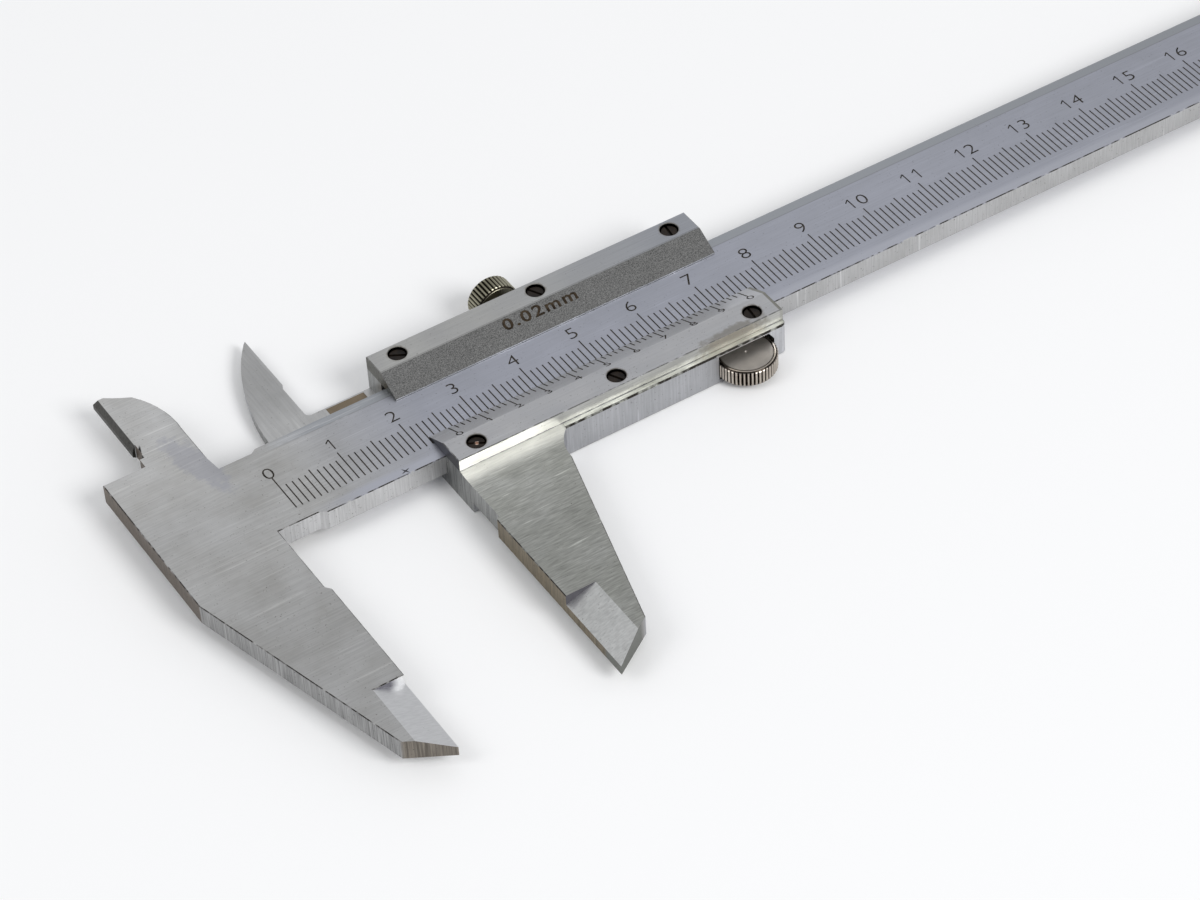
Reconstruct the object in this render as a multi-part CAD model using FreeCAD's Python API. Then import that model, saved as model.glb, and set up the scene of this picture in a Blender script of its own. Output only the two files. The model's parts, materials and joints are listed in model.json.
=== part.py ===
import FreeCAD, Part
import math
import os

# Vernier caliper, 0 to 150 mm by 0.02 mm, drawn in millimetres with the slider set at READING.
# Drawing axes: X from the fixed jaw's measuring face along the beam, Y from the beam's lower edge
# towards the inner jaws, Z from the beam's front face towards the reader. save() moves every piece
# to the part's frame, whose origin is the middle of the fixed jaw's measuring face.

V = FreeCAD.Vector
Y_AXIS = V(0, 1, 0)
Z_AXIS = V(0, 0, 1)

# The reading and the fits
READING = 25.2            # opening of the jaws as drawn
SLIDE_GAP = 0.05          # running clearance between the slider and the beam
TURN_GAP = 0.05           # radial clearance of the pieces that turn
EDGE = 0.12               # chamfer that breaks the sharp edges
OVER = 1.0                # how far a cutter runs past what it cuts

# Beam, head and fixed jaws
BEAM_W = 16.87
BEAM_T = 3.4
BEAM_END = 211.7
BEAM_LOW_STEP = (5.9, 6.9)    # the lower edge rises by JAW_RELIEF over this stretch
BEAM_TOP_STEP = (3.9, 4.7)    # the upper edge drops to HEAD_SHELF over this one
HEAD_SHELF = 16.3
FACE_MID = 25.0           # the measuring face's middle lies this far below the beam's lower edge
HEAD_LEFT = -16.4
HEAD_TOP = 22.6
HEAD_HEEL = (-16.4, -5.7)     # the head's left side turns towards the jaw's tip here
JAW_TOE = (-6.4, -42.3)       # and the slanted side ends here
JAW_TIP = -46.0           # both outer jaws end here
JAW_STEP = -13.2          # the measuring faces start here, with a relief above them
JAW_RELIEF = 0.65
KNIFE_TOP = -32.3         # shoulder where the outer jaws are thinned towards their tips
KNIFE_W = 4.9
KNIFE_D = 1.75
INNER_X = -9.4            # measuring edge of the fixed inner jaw
INNER_TIP = 39.7
INNER_TIP_FRONT = 38.5    # its tip leans back from here to the measuring land
INNER_FOOT = 24.2         # the inner jaw's bevels start here
NOTCH_Y = (25.0, 27.3)    # relief notch at the foot of its measuring edge
NOTCH_D = 0.5
LAND_Z = (-1.6, -2.4)     # its narrow measuring land
GROOVE_W = 3.2            # groove in the beam's back, in which the depth rod slides
GROOVE_D = 1.3
GROOVE_Y = 8.4
GROOVE_START = 30.0

# Slider, along X from the moving jaw's measuring face
SLIDER_X = (0.6, 54.9)
BACK_Z = -5.4             # the slider's back face, on which the caliper lies
FLOOR_Z = -BEAM_T - SLIDE_GAP
WALL_Z = SLIDE_GAP        # top of both side walls, where the cover plates sit
LOWER_Y = -4.85
UPPER_Y = 21.9
ROOT_X = 17.4             # right end of the moving outer jaw's root
JAW_Z = -0.2              # front face of the moving outer jaw
JAW_BACK = -3.55
INNER_BLADE_Z = -5.0      # back of the moving inner jaw at its root
GIB_Y = (BEAM_W + SLIDE_GAP, 17.87)
GIB_TAIL = 0.25           # thickness of the gib's flat tail

# Cover plates and their screws
COVER_TOP = 2.4
VERNIER_TOP = 2.1
VERNIER_EDGE = 4.55
PLATE_SCREW_X = (4.65, 27.85, 51.0)
COVER_SCREW_Y = 19.9
VERNIER_SCREW_Y = -1.8
SCREW_R = 0.8
SCREW_HEAD_R = 1.33
SCREW_HEAD_H = 0.8
SCREW_SUNK = 0.4
SCREW_END = -2.4          # how deep the plate screws reach
HEAD_GAP = 0.06

# Set screws, lock screw, thumb roller, depth rod and end stop
GIB_SCREW_X = (13.0, 39.5)
GIB_SCREW_Z = -1.5
GIB_SCREW_R = 0.9
LOCK_X = 23.85
LOCK_Z = -1.75
LOCK_R = 1.25
LOCK_COLLAR_R = 1.9
LOCK_HEAD_R = 3.55
LOCK_HEAD_Y = (24.0, 27.2)
ROLLER_X = 47.95
ROLLER_Y = -4.68
ROLLER_R = 4.6
ROLLER_Z = (-4.65, -1.95)
POCKET_R = 4.78
POCKET_Z = (-4.75, -0.35)
SHORT_SCREW_END = POCKET_Z[1]    # the vernier screw over the roller's pocket ends at its roof
EAR_R = 2.6
AXLE_R = 0.8
AXLE_TOP = -2.9
ROD_W = 3.0
ROD_T = 1.2
ROD_START = 33.0
ROD_PIN_X = (36.5, 49.5)
ROD_PIN_R = 0.6
STOP_X = 205.3
STOP_W = 4.0
STOP_Y = (10.8, 16.2)
STOP_Z = -4.75
STOP_SCREW_Y = (12.1, 14.9)
STOP_SCREW_R = 0.6
STOP_HEAD_R = 1.2


def save(name, shape):
    """Move a finished piece to the part's frame and write it as one STEP file."""
    placed = shape.copy()
    placed.translate(V(0, FACE_MID, BEAM_T / 2))
    if not placed.isValid() or len(placed.Solids) != 1:
        raise RuntimeError("%s: %d solids, valid %s" % (name, len(placed.Solids), placed.isValid()))
    placed.Solids[0].exportStep("parts/%s.step" % name)
    print("%-18s %9.2f mm3" % (name, placed.Volume))


# ---------------------------------------------------------------- drawing helpers

def on_slider(x):
    """Drawing X of a place given from the moving jaw's measuring face."""
    return READING + x


def box(x0, x1, y0, y1, z0, z1):
    return Part.makeBox(x1 - x0, y1 - y0, z1 - z0, V(x0, y0, z0))


def bar(radius, start, end):
    """Round bar between two points."""
    return Part.makeCylinder(radius, (end - start).Length, start, end - start)


def closed_face(points):
    """Flat face around a ring of points; one that follows True is the middle of an arc."""
    edges = []
    start = points[0]
    rest = points[1:] + points[:1]
    while rest:
        if rest[0] is True:
            edges.append(Part.Arc(start, rest[1], rest[2]).toShape())
            start = rest[2]
            rest = rest[3:]
        else:
            edges.append(Part.makeLine(start, rest[0]))
            start = rest[0]
            rest = rest[1:]
    return Part.Face(Part.Wire(edges))


def pulled(face, by):
    """Solid swept by a flat face, with its skin facing outwards."""
    solid = face.extrude(by)
    if solid.Volume < 0:
        solid.reverse()
    return solid


def plate(points, z0, z1, shift=0.0):
    """Flat plate from (x, y) points between two heights."""
    ring = [p if p is True else V(p[0] + shift, p[1], z0) for p in points]
    return pulled(closed_face(ring), V(0, 0, z1 - z0))


def rail(points, x0, x1):
    """Bar along X with a cross-section of (y, z) points."""
    ring = [p if p is True else V(x0, p[0], p[1]) for p in points]
    return pulled(closed_face(ring), V(x1 - x0, 0, 0))


def wedge(points, y0, y1):
    """Bar along Y with a cross-section of (x, z) points."""
    return pulled(closed_face([V(x, y0, z) for x, z in points]), V(0, y1 - y0, 0))


def break_edges(shape, height, shortest=3.0, under=100.0):
    """Chamfer the long edges at one height and under one Y, leaving out those that can't be cut."""
    middles = []
    for edge in shape.Edges:
        limits = edge.BoundBox
        level = abs(limits.ZMin - height) + abs(limits.ZMax - height) < 1e-4
        if level and edge.Length > shortest and edge.CenterOfMass.y < under:
            middles.append(edge.CenterOfMass)
    for middle in middles:
        edge = min(shape.Edges, key=lambda e: e.CenterOfMass.distanceToPoint(middle))
        try:
            cut = shape.makeChamfer(EDGE, [edge])
        except Part.OCCError:
            continue
        same_size = abs(cut.BoundBox.DiagonalLength - shape.BoundBox.DiagonalLength) < EDGE
        if cut.isValid() and len(cut.Solids) == 1 and same_size and cut.Volume < shape.Volume:
            shape = cut
    return shape


def turned(points, base, axis):
    """Lathe-turned piece from (radius, height) points, standing at base along axis."""
    blank = closed_face([V(r, 0, h) for r, h in points]).revolve(V(0, 0, 0), Z_AXIS, 360)
    blank.Placement = FreeCAD.Placement(base, FreeCAD.Rotation(Z_AXIS, axis))
    return blank


def knurled_drum(base, axis, length, radius, teeth, depth, rim):
    """Drum with straight knurling, whose two rims are chamfered."""
    step = 2 * math.pi / teeth
    ring = []
    for tooth in range(teeth):
        for share, reach in ((-0.16, radius), (0.16, radius), (0.5, radius - depth)):
            angle = (tooth + share) * step
            ring.append(V(reach * math.cos(angle), reach * math.sin(angle), 0))
    toothed = pulled(closed_face(ring), V(0, 0, length))
    toothed.Placement = FreeCAD.Placement(base, FreeCAD.Rotation(Z_AXIS, axis))
    inner = radius - rim
    outer = radius + 0.02
    profile = [(0, 0), (inner, 0), (outer, rim), (outer, length - rim), (inner, length), (0, length)]
    return toothed.common(turned(profile, base, axis))


def cheese_head_screw(top, head_r, head_h, shank_r, length):
    """Screw whose slotted head ends at top, with its shank pointing down."""
    rim = 0.15
    profile = [(0, -length), (shank_r - rim, -length), (shank_r, rim - length), (shank_r, -head_h),
               (head_r, -head_h), (head_r, -rim), (head_r - rim, 0), (0, 0)]
    screw = turned(profile, top, Z_AXIS)
    slot = box(-head_r - OVER, head_r + OVER, -0.2, 0.2, -0.4, OVER)
    slot.rotate(V(0, 0, 0), Z_AXIS, 35 + 40 * (top.x % 3))
    slot.translate(top)
    return screw.cut(slot)


# ---------------------------------------------------------------- beam side

def beam():
    """Main scale bar with its head, fixed outer jaw and fixed inner jaw, ground from one blank."""
    foot = INNER_X - 0.35
    notch = INNER_X + NOTCH_D
    body = plate([
        (HEAD_LEFT, HEAD_TOP), HEAD_HEEL, JAW_TOE, (0.0, JAW_TIP), (0.0, JAW_STEP),
        (-JAW_RELIEF, JAW_STEP + 0.8), (-JAW_RELIEF, JAW_RELIEF), (BEAM_LOW_STEP[0], JAW_RELIEF),
        (BEAM_LOW_STEP[1], 0.0), (BEAM_END, 0.0), (BEAM_END, BEAM_W), (BEAM_TOP_STEP[1], BEAM_W),
        (BEAM_TOP_STEP[0], HEAD_SHELF), (-1.5, HEAD_SHELF), (-1.8, 18.6), (-1.85, 26.4), True, (-2.4, 31.8),
        (-4.7, 36.4), True, (-6.9, 37.7), (INNER_X, INNER_TIP), (INNER_X, NOTCH_Y[1] + 0.2),
        (notch, NOTCH_Y[1]), (notch, NOTCH_Y[0]), (INNER_X, NOTCH_Y[0] - 0.2), (INNER_X, INNER_FOOT),
        (foot, INNER_FOOT), (foot, HEAD_TOP),
    ], -BEAM_T, 0)
    body = body.cut(knife_cut(0.0, -1, 0.0))
    for cutter in inner_bevels():
        body = body.cut(cutter)
    body = body.cut(box(GROOVE_START, BEAM_END + OVER, GROOVE_Y - GROOVE_W / 2,
                        GROOVE_Y + GROOVE_W / 2, -BEAM_T - OVER, GROOVE_D - BEAM_T))
    for y in STOP_SCREW_Y:
        x = STOP_X + STOP_W / 2
        body = body.cut(bar(STOP_SCREW_R, V(x, y, -BEAM_T - OVER), V(x, y, -1.0)))
    return break_edges(break_edges(body, 0.0), -BEAM_T)


def knife_cut(face_x, away, z_front):
    """Wedge that thins an outer jaw's front below its shoulder; away points from the face."""
    far = face_x + away * KNIFE_W
    near = face_x - away * OVER
    slope = KNIFE_D / KNIFE_W
    return wedge([(far, z_front), (near, z_front - slope * abs(far - near)), (near, z_front + OVER),
                  (far, z_front + OVER)], JAW_TIP - OVER, KNIFE_TOP)


def inner_bevels():
    """Bevels that bring the fixed inner jaw to its narrow measuring land, and the slope at its tip."""
    beyond = INNER_X - OVER
    front = [(beyond, OVER), (INNER_X + 0.4, OVER), (INNER_X + 0.4, 0.0), (INNER_X, LAND_Z[0]),
             (beyond, LAND_Z[0])]
    tip = [(INNER_TIP_FRONT, OVER), (INNER_TIP_FRONT, 0.0), (INNER_TIP, LAND_Z[0]),
           (INNER_TIP + OVER, LAND_Z[0]), (INNER_TIP + OVER, OVER)]
    back = [(beyond, LAND_Z[1]), (INNER_X, LAND_Z[1]), (INNER_X + 4.0, -BEAM_T),
            (INNER_X + 4.0, -BEAM_T - OVER), (beyond, -BEAM_T - OVER)]
    return [wedge(front, INNER_FOOT, INNER_TIP + OVER), wedge(back, INNER_FOOT, INNER_TIP + OVER),
            rail(tip, beyond, 0)]


def end_stop():
    """Small plate on the beam's back that keeps the slider from running off."""
    body = box(STOP_X, STOP_X + STOP_W, STOP_Y[0], STOP_Y[1], STOP_Z, -BEAM_T)
    for y in STOP_SCREW_Y:
        x = STOP_X + STOP_W / 2
        body = body.cut(bar(STOP_SCREW_R, V(x, y, STOP_Z - OVER), V(x, y, 0)))
        body = body.cut(bar(STOP_HEAD_R, V(x, y, STOP_Z - OVER), V(x, y, STOP_Z + 0.6)))
    return break_edges(body, STOP_Z, 1.0)


def end_stop_screw(y):
    """Screw of the end stop, with its head on the back."""
    length = 1.9 - STOP_Z - BEAM_T
    screw = cheese_head_screw(V(0, 0, 0), STOP_HEAD_R, 0.6, STOP_SCREW_R, length)
    screw.rotate(V(0, 0, 0), V(1, 0, 0), 180)
    screw.translate(V(STOP_X + STOP_W / 2, y, STOP_Z))
    return screw


# ---------------------------------------------------------------- slider

def slider_body():
    """Back plate, side walls, moving outer jaw and moving inner jaw, in one piece."""
    body = back_plate().fuse([inner_blade(), outer_jaw(), lower_wall(), upper_wall(), roller_ear()])
    body = body.removeSplitter()
    for cutter in slider_cuts():
        body = body.cut(cutter)
    body = break_edges(body, BACK_Z)
    return break_edges(body, JAW_Z, under=-12.0)


def back_plate():
    left, right = SLIDER_X
    return plate([
        (left, -7.07), (15.6, -7.07), True, (16.2, -5.6), (ROOT_X, LOWER_Y), (right - 0.8, LOWER_Y), True,
        (right - 0.23, LOWER_Y + 0.23), (right, LOWER_Y + 0.8), (right, UPPER_Y), (left, UPPER_Y),
        (left, 21.6), (-9.3, 21.6), (-9.3, 20.0), (-16.95, 20.0), (-16.95, 8.0), True, (-15.5, 4.5),
        (-12.0, 3.0), (left, 3.0),
    ], BACK_Z, FLOOR_Z, READING)


def inner_blade():
    """Moving inner jaw, which passes behind the head and is thinned towards its tip."""
    edge = INNER_X + SLIDE_GAP
    root = edge - 0.5
    blade = plate([
        (-16.95, 10.0), (-9.1, 10.0), (-9.1, 21.6), True, (-9.6, 21.8), (root, 22.3), (root, 28.8),
        (edge, 29.7), (edge, 41.0), True, (-12.6, 36.2), (-14.9, 30.8), True, (-16.35, 25.2), (-16.95, 19.5),
    ], INNER_BLADE_Z, FLOOR_Z, READING)
    taper = rail([(25.0, INNER_BLADE_Z), (34.0, -4.1), (42.0, -4.0), (42.0, -6.0), (25.0, -6.0)], 0, 20)
    front = wedge([(on_slider(edge) - 0.6, FLOOR_Z), (on_slider(edge) + OVER, FLOOR_Z - 0.8),
                   (on_slider(edge) + OVER, 0), (on_slider(edge) - 0.6, 0)], 29.3, 42.0)
    return blade.cut(taper).cut(front)


def outer_jaw():
    """Moving outer jaw with its relief, knife part and the shallow cove under the vernier plate."""
    left = SLIDER_X[0]
    ring = [(left, -SLIDE_GAP), (left, JAW_STEP - 0.9), (0.0, JAW_STEP - 1.5), (0.0, JAW_TIP),
            (6.75, -41.6), (15.1, -10.0), True, (15.75, -6.9), (ROOT_X, LOWER_Y), (ROOT_X, -SLIDE_GAP)]
    blade = plate(ring, JAW_BACK, JAW_Z, READING).cut(box(on_slider(-1), on_slider(ROOT_X + 1),
                                                          LOWER_Y, OVER, JAW_BACK - OVER, FLOOR_Z))
    cove = rail([(-SLIDE_GAP, FLOOR_Z), (-SLIDE_GAP, WALL_Z), (-3.85, WALL_Z), True, (-5.1, -0.115),
                 (-6.7, JAW_Z), (-6.7, FLOOR_Z)], on_slider(left), on_slider(ROOT_X))
    cove = cove.common(plate(ring, FLOOR_Z, WALL_Z, READING))
    return blade.fuse(cove).cut(knife_cut(on_slider(0), 1, JAW_Z))


def lower_wall():
    """Wall under the vernier plate, to the right of the jaw."""
    right = SLIDER_X[1]
    wall = plate([(ROOT_X - OVER, -SLIDE_GAP), (ROOT_X - OVER, LOWER_Y), (right - 0.8, LOWER_Y), True,
                  (right - 0.23, LOWER_Y + 0.23), (right, LOWER_Y + 0.8), (right, -SLIDE_GAP)],
                 FLOOR_Z, WALL_Z, READING)
    ledge = rail([(LOWER_Y - OVER, -0.2), (LOWER_Y, -0.2), (LOWER_Y + 0.25, WALL_Z),
                  (LOWER_Y + 0.25, OVER), (LOWER_Y - OVER, OVER)], on_slider(ROOT_X), on_slider(right + OVER))
    inside = box(on_slider(ROOT_X), on_slider(right + OVER), LOWER_Y - OVER, OVER, FLOOR_Z, OVER)
    return wall.common(inside).cut(ledge)


def upper_wall():
    left, right = SLIDER_X
    return box(on_slider(left), on_slider(right), GIB_Y[1] + 0.05, UPPER_Y, FLOOR_Z, WALL_Z)


def roller_ear():
    """Tongue of the back plate that carries the roller's axle."""
    centre = V(on_slider(ROLLER_X), ROLLER_Y, BACK_Z)
    return bar(EAR_R, centre, V(centre.x, centre.y, POCKET_Z[0]))


def slider_cuts():
    """The roller's pocket, the gib tail's recess and every screw, pin and axle hole."""
    x = on_slider(ROLLER_X)
    pocket = bar(POCKET_R, V(x, ROLLER_Y, POCKET_Z[0]), V(x, ROLLER_Y, POCKET_Z[1]))
    mouth = wedge([(x - 5, POCKET_Z[0]), (x - 5, POCKET_Z[1]), (x + 3.85, POCKET_Z[1]), (x + 4.9, -1.9),
                   (x + 4.9, POCKET_Z[0])], -12, 2)
    cuts = [pocket.common(mouth), gib_tail()]
    cuts.append(bar(AXLE_R, V(x, ROLLER_Y, BACK_Z - OVER), V(x, ROLLER_Y, POCKET_Z[0] + OVER)))
    for along in PLATE_SCREW_X:
        for y in (COVER_SCREW_Y, VERNIER_SCREW_Y):
            cuts.append(bar(SCREW_R, V(on_slider(along), y, screw_end(along, y)), V(on_slider(along), y, OVER)))
    for along in GIB_SCREW_X:
        cuts.append(bar(GIB_SCREW_R, V(on_slider(along), GIB_Y[1], GIB_SCREW_Z),
                        V(on_slider(along), UPPER_Y + OVER, GIB_SCREW_Z)))
    cuts.append(bar(LOCK_R + TURN_GAP, V(on_slider(LOCK_X), GIB_Y[1], LOCK_Z),
                    V(on_slider(LOCK_X), UPPER_Y + OVER, LOCK_Z)))
    for along in ROD_PIN_X:
        cuts.append(bar(ROD_PIN_R, V(on_slider(along), GROOVE_Y, BACK_Z - OVER), V(on_slider(along), GROOVE_Y, 0)))
    return cuts


def gib_tail():
    """The gib's flat tail, which lies in a shallow recess beside the inner jaw."""
    top = FLOOR_Z
    low = FLOOR_Z - GIB_TAIL
    flag = box(on_slider(-6.9), on_slider(-0.7), 17.2, 21.35, low, top)
    neck = box(on_slider(-0.8), on_slider(1.6), 17.2, GIB_Y[1], low, top)
    return flag.fuse(neck).removeSplitter()


def upper_cover():
    """Bevelled plate over the upper wall, reaching down over the beam's scale."""
    left, right = SLIDER_X
    body = rail([(13.7, WALL_Z), (13.7, 0.25), (17.8, COVER_TOP), (UPPER_Y, COVER_TOP), (UPPER_Y, WALL_Z)],
                on_slider(left), on_slider(right))
    return plate_with_screw_holes(body, COVER_SCREW_Y, COVER_TOP)


def vernier_plate():
    """Bevelled plate over the lower wall, whose thin edge carries the vernier."""
    left, right = SLIDER_X
    body = rail([(VERNIER_EDGE, WALL_Z), (VERNIER_EDGE, 0.17), (0.5, VERNIER_TOP), (-3.85, VERNIER_TOP),
                 (-3.85, WALL_Z)], on_slider(left), on_slider(right))
    return plate_with_screw_holes(body, VERNIER_SCREW_Y, VERNIER_TOP)


def plate_with_screw_holes(body, y, top):
    """Sink the screw holes of a cover plate and break its upper edges."""
    for along in PLATE_SCREW_X:
        x = on_slider(along)
        seat = top - SCREW_SUNK - SCREW_HEAD_H
        body = body.cut(bar(SCREW_R + 0.1, V(x, y, -OVER), V(x, y, top)))
        body = body.cut(bar(SCREW_HEAD_R + HEAD_GAP, V(x, y, seat), V(x, y, top + OVER)))
    return break_edges(body, top)


def screw_end(along, y):
    """Height at which a plate screw's tip ends."""
    over_pocket = y == VERNIER_SCREW_Y and abs(along - ROLLER_X) < POCKET_R
    return SHORT_SCREW_END if over_pocket else SCREW_END


def plate_screw(along, y, top):
    head = top - SCREW_SUNK
    return cheese_head_screw(V(on_slider(along), y, head), SCREW_HEAD_R, SCREW_HEAD_H, SCREW_R,
                             head - screw_end(along, y))


def gib_strip():
    """Bronze gib between the beam's upper edge and the upper wall, with its flat tail."""
    body = box(on_slider(1.0), on_slider(54.5), GIB_Y[0], GIB_Y[1], FLOOR_Z, 0.0)
    return body.fuse(gib_tail()).removeSplitter()


def gib_screw(along):
    """Headless set screw that presses the gib against the beam."""
    length = 3.6
    rim = 0.2
    profile = [(0, 0), (GIB_SCREW_R - rim, 0), (GIB_SCREW_R, rim), (GIB_SCREW_R, length), (0, length)]
    x = on_slider(along)
    end = GIB_Y[1] + length
    slot = box(x - 2, x + 2, end - 0.6, end + OVER, GIB_SCREW_Z - 0.2, GIB_SCREW_Z + 0.2)
    return turned(profile, V(x, GIB_Y[1], GIB_SCREW_Z), Y_AXIS).cut(slot)


def depth_rod():
    """Flat depth blade in the beam's groove, fixed to the slider; flush with the beam when shut."""
    x0 = on_slider(ROD_START)
    x1 = on_slider(BEAM_END)
    y0 = GROOVE_Y - ROD_W / 2
    y1 = GROOVE_Y + ROD_W / 2
    body = plate([(x0, y0), (x1, y0), (x1, y1 - 1.0), (x1 - 1.6, y1), (x0, y1)], FLOOR_Z, FLOOR_Z + ROD_T)
    for along in ROD_PIN_X:
        body = body.cut(bar(ROD_PIN_R, V(on_slider(along), GROOVE_Y, -6), V(on_slider(along), GROOVE_Y, 0)))
    return body


def depth_rod_pin(along):
    """Flush rivet through the back plate and the depth rod."""
    x = on_slider(along)
    return bar(ROD_PIN_R, V(x, GROOVE_Y, BACK_Z), V(x, GROOVE_Y, FLOOR_Z + ROD_T))


def roller_axle():
    """Stub axle pressed into the back plate's tongue."""
    x = on_slider(ROLLER_X)
    return bar(AXLE_R, V(x, ROLLER_Y, BACK_Z), V(x, ROLLER_Y, AXLE_TOP))


# ---------------------------------------------------------------- turned by hand

def lock_screw():
    """Knurled locking screw: drum, collar and thread in one turned piece."""
    base, far = LOCK_HEAD_Y
    x = on_slider(LOCK_X)
    drum = knurled_drum(V(x, base, LOCK_Z), Y_AXIS, far - base, LOCK_HEAD_R, 36, 0.28, 0.35)
    collar = bar(LOCK_COLLAR_R, V(x, UPPER_Y + TURN_GAP, LOCK_Z), V(x, base + 0.2, LOCK_Z))
    thread = bar(LOCK_R, V(x, GIB_Y[1] + TURN_GAP, LOCK_Z), V(x, base, LOCK_Z))
    dish = turned([(0, 0), (2.3, 0), (2.5, 0.4), (0, 0.4)], V(x, far - 0.35, LOCK_Z), Y_AXIS)
    return drum.cut(dish).fuse([collar, thread]).removeSplitter()


def thumb_roller():
    """Knurled roller on a blind bore; a groove sets its flat top apart from the knurled rim."""
    low, high = ROLLER_Z
    x = on_slider(ROLLER_X)
    drum = knurled_drum(V(x, ROLLER_Y, low), Z_AXIS, high - low, ROLLER_R, 48, 0.26, 0.3)
    groove = turned([(3.9, -0.3), (4.1, -0.3), (4.1, OVER), (3.9, OVER)], V(x, ROLLER_Y, high), Z_AXIS)
    dimple = turned([(0, -0.4), (0.25, 0), (0.25, OVER), (0, OVER)], V(x, ROLLER_Y, high), Z_AXIS)
    bore = bar(AXLE_R + TURN_GAP, V(x, ROLLER_Y, low - OVER), V(x, ROLLER_Y, AXLE_TOP + 0.1))
    return drum.cut(groove).cut(dimple).cut(bore)


def main():
    os.makedirs("parts", exist_ok=True)
    save("beam", beam())
    save("end_stop", end_stop())
    for number, y in enumerate(STOP_SCREW_Y, 1):
        save("end_stop_screw_%d" % number, end_stop_screw(y))
    save("slider_body", slider_body())
    save("upper_cover", upper_cover())
    save("vernier_plate", vernier_plate())
    for number, along in enumerate(PLATE_SCREW_X, 1):
        save("cover_screw_%d" % number, plate_screw(along, COVER_SCREW_Y, COVER_TOP))
        save("vernier_screw_%d" % number, plate_screw(along, VERNIER_SCREW_Y, VERNIER_TOP))
    save("gib_strip", gib_strip())
    for number, along in enumerate(GIB_SCREW_X, 1):
        save("gib_screw_%d" % number, gib_screw(along))
    save("depth_rod", depth_rod())
    for number, along in enumerate(ROD_PIN_X, 1):
        save("depth_rod_pin_%d" % number, depth_rod_pin(along))
    save("roller_axle", roller_axle())
    save("lock_screw", lock_screw())
    save("thumb_roller", thumb_roller())


main()
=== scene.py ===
# %% [markdown]
# A vernier caliper is a steel rule with two pairs of jaws and a slider. This lesson takes the working
# model as it stands, gives each surface its finish, and adds what a maker engraves last: the scale,
# the vernier and their figures. The model's frame has its origin in the middle of the fixed jaw's
# measuring face, X along the beam, Y towards the inner jaws and Z out of the scale side.

# %% Load the frame
import json
import math

import bmesh
import bpy
from mathutils import Matrix, Vector


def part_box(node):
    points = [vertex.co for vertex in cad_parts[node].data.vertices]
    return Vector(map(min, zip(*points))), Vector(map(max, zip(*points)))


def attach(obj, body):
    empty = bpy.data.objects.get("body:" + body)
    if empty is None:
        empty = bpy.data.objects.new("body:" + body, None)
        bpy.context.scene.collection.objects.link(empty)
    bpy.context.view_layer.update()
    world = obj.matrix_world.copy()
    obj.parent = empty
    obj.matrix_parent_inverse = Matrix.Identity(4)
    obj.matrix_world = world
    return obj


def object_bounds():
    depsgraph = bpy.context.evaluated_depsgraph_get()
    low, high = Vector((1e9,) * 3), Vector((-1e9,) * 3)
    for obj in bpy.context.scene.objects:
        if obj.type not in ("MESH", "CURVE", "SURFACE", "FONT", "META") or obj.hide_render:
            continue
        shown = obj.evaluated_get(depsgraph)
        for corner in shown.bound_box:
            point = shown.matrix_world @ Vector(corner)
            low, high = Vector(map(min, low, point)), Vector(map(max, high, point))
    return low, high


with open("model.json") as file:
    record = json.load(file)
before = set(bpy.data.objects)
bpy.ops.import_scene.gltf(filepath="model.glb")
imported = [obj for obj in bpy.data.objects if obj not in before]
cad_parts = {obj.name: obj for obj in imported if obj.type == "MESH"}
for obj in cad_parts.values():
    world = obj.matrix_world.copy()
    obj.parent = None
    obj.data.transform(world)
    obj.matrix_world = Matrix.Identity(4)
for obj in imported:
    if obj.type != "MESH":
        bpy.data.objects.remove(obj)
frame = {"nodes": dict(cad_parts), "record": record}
cad_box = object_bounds()
MM = 0.001

# %% [markdown]
# Most places come from the frame. The mounts say where the two measuring faces are, and their
# distance is the reading. The zero lines stand a little to the right of those faces, by the same
# amount on the beam and on the slider, so that the two zeros meet when the jaws are shut.

# %% Places read from the frame
MOUNTS = {mount["name"]: Vector(mount["pos_m"]) for mount in frame["record"]["mounts"]}
VERNIER_LOW, VERNIER_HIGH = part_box("vernier_plate")
COVER_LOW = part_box("upper_cover")[0]
READING = (MOUNTS["moving_jaw_face"] - MOUNTS["fixed_jaw_face"]).x
BEAM_EDGE = 25.0 * MM                # the beam's lower edge, in Y
BEAM_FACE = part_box("beam")[1].z      # the scale side, in Z
ZERO_OFFSET = 3.7 * MM               # from a measuring face to its zero line


def middle_of(name):
    low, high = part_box(name)
    return (low + high) / 2


def radius_of(name):
    low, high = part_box(name)
    return (high.x - low.x) / 2


print("reading %.2f mm, beam face at z %.3f mm" % (READING / MM, BEAM_FACE / MM))

# %% [markdown]
# The camera stands far off with a long lens, so the caliper shows almost no perspective. It goes in
# first, because everything after it is judged through it.

# %% Camera
CAMERA_PLACE = Vector((-151.920, -324.624, 379.488)) * MM
CAMERA_TURN = [math.radians(a) for a in (45.9227, 2.5689, -32.5745)]
CAMERA_LENS = 117.065                # mm, on a 36 mm sensor

camera_data = bpy.data.cameras.new("camera")
camera_data.lens = CAMERA_LENS
camera_data.sensor_width = 36.0
camera_data.clip_start = 0.01
camera_data.clip_end = 20.0
camera = bpy.data.objects.new("camera", camera_data)
camera.location = CAMERA_PLACE
camera.rotation_euler = CAMERA_TURN
bpy.context.scene.collection.objects.link(camera)
bpy.context.scene.camera = camera
print("camera %.0f mm from the origin" % (CAMERA_PLACE.length / MM))

# %% [markdown]
# Bright metal shows its surroundings more than its own colour. A pale floor and an even pale sky
# make the ground faces read as mid grey and the edges that look down at the floor as light grey.
# A large soft lamp in front adds direction, so that bevels and knurling get a lit and a shaded
# side, and a weaker one on the left keeps the shaded sides open.

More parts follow.
